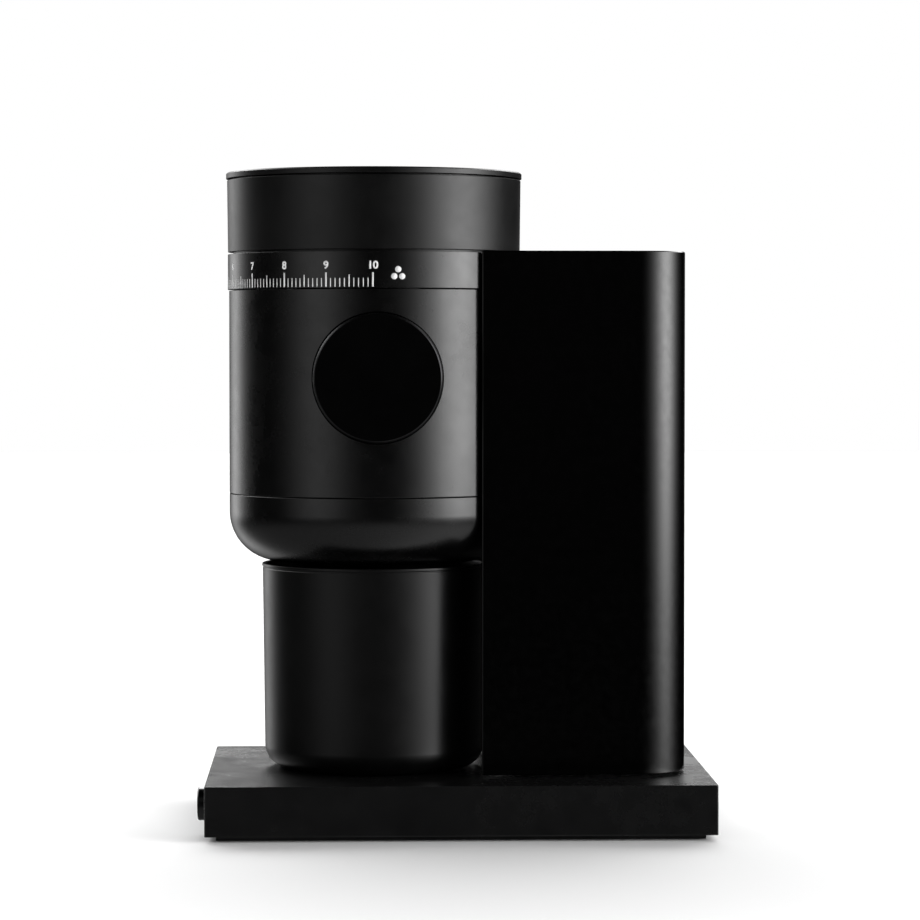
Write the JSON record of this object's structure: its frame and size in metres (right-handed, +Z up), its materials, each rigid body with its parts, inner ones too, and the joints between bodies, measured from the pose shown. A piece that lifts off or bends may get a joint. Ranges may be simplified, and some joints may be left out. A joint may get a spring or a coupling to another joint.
{
  "type": "burr coffee grinder",
  "caption": "Electric flat-burr coffee grinder: round head with hopper, adjusting ring and side knob over a catch cup, on a slab base with a rear motor tower.",
  "frame": {"origin": "on the table under the middle of the whole object's box", "axes": "+Z up, +X towards the rear tower, -X towards the front end with the power button, -Y out of the side with the round knob"},
  "size_m": [0.2546, 0.172, 0.328],
  "materials": {
    "satin_shell": "satin black moulded housing with a very fine texture",
    "gloss_shell": "gloss black tower housing",
    "matte_inner": "matt black inner panel",
    "knob_metal": "black anodised aluminium, matt face, knurled edge, bright chamfer line",
    "dial": "satin black with a white printed scale",
    "cup_metal": "satin black coated cup with a brighter rim",
    "rubber": "black rubber",
    "steel": "bare machined steel",
    "aluminium": "cast and machined aluminium",
    "white_plastic": "natural white moulded plastic",
    "circuit_board": "green circuit board with black components",
    "button": "gloss black button cap"
  },
  "bodies": {
    "housing": {"base_shell": "satin_shell", "head_body": "satin_shell", "head_bowl": "satin_shell", "tower_shell": "gloss_shell", "tower_top": "gloss_shell", "bottom_plate": "matte_inner", "tower_mouth_panel": "matte_inner", "knob_recess": "matte_inner", "outlet_chute": "matte_inner", "cord_gland": "rubber", "drive_belt": "rubber", "rubber_foot_1": "rubber", "rubber_foot_2": "rubber", "rubber_foot_3": "rubber", "rubber_foot_4": "rubber", "motor_housing": "steel", "upper_bearing": "steel", "lower_bearing": "steel", "knob_spring": "steel", "detent_spring": "steel", "base_screw_1": "steel", "base_screw_2": "steel", "base_screw_3": "steel", "base_screw_4": "steel", "frame_screw_1": "steel", "frame_screw_2": "steel", "frame_screw_3": "steel", "motor_screw_1": "steel", "motor_screw_2": "steel", "chamber_screw_1": "steel", "chamber_screw_2": "steel", "drive_frame": "aluminium", "grind_chamber": "aluminium", "power_switch_body": "white_plastic", "knob_switch": "white_plastic", "control_board": "circuit_board"},
    "adjusting_ring": {"adjust_ring": "dial"},
    "upper_burr_carrier": {"burr_carrier": "aluminium", "upper_burr": "steel", "upper_burr_screw_1": "steel", "upper_burr_screw_2": "steel", "upper_burr_screw_3": "steel"},
    "hopper": {"hopper": "satin_shell"},
    "lid": {"hopper_lid": "satin_shell", "lid_seal": "rubber"},
    "burr_spindle": {"burr_shaft": "steel", "driven_pulley": "aluminium", "burr_rotor": "aluminium", "rotor_nut": "steel", "lower_burr": "steel", "lower_burr_screw_1": "steel", "lower_burr_screw_2": "steel", "lower_burr_screw_3": "steel"},
    "motor_spindle": {"motor_rotor": "steel", "drive_pulley": "aluminium"},
    "knob_stem": {"knob_stem": "steel"},
    "knob": {"start_knob": "knob_metal"},
    "power_button": {"power_button": "button"},
    "catch_cup": {"cup": "cup_metal"},
    "detent_pin": {"detent_plunger": "steel"}
  },
  "joints": [
    {"name": "ring_turn", "type": "hinge", "parent": "housing", "child": "adjusting_ring", "pos_m": [-0.0395, 0, 0.27], "axis": [0, 0, 1], "range_deg": [-9.6, 162]},
    {"name": "carrier_travel", "type": "slide", "parent": "housing", "child": "upper_burr_carrier", "axis": [0, 0, 1], "range_m": [-0.000675, 0.00004]},
    {"name": "hopper_lift", "type": "slide", "parent": "housing", "child": "hopper", "axis": [0, 0, 1], "range_m": [0, 0.08]},
    {"name": "lid_lift", "type": "slide", "parent": "hopper", "child": "lid", "axis": [0, 0, 1], "range_m": [0, 0.05]},
    {"name": "motor_spin", "type": "hinge", "parent": "housing", "child": "motor_spindle", "pos_m": [0.074, 0, 0.12], "axis": [0, 0, 1], "continuous": true},
    {"name": "burr_spin", "type": "hinge", "parent": "housing", "child": "burr_spindle", "pos_m": [-0.0395, 0, 0.2], "axis": [0, 0, 1], "continuous": true},
    {"name": "knob_press", "type": "slide", "parent": "housing", "child": "knob_stem", "axis": [0, 1, 0], "range_m": [0, 0.0025], "stiffness_N_per_m": 900, "springref_m": -0.0008, "deforming": ["knob_spring"]},
    {"name": "knob_turn", "type": "hinge", "parent": "knob_stem", "child": "knob", "pos_m": [-0.0382, -0.0821, 0.2251], "axis": [0, -1, 0], "continuous": true},
    {"name": "power_press", "type": "slide", "parent": "housing", "child": "power_button", "axis": [1, 0, 0], "range_m": [0, 0.003]},
    {"name": "cup_slide", "type": "slide", "parent": "housing", "child": "catch_cup", "axis": [-1, 0, 0], "range_m": [0, 0.12]},
    {"name": "detent_push", "type": "slide", "parent": "housing", "child": "detent_pin", "axis": [0, 0, -1], "range_m": [0, 0.0008], "stiffness_N_per_m": 600, "springref_m": -0.001, "deforming": ["detent_spring"]}
  ],
  "couplings": [
    {"joint": "ring_turn", "follows": "carrier_travel", "rad_per_m": -4188.8},
    {"joint": "burr_spin", "follows": "motor_spin", "ratio": 0.42857}
  ]
}
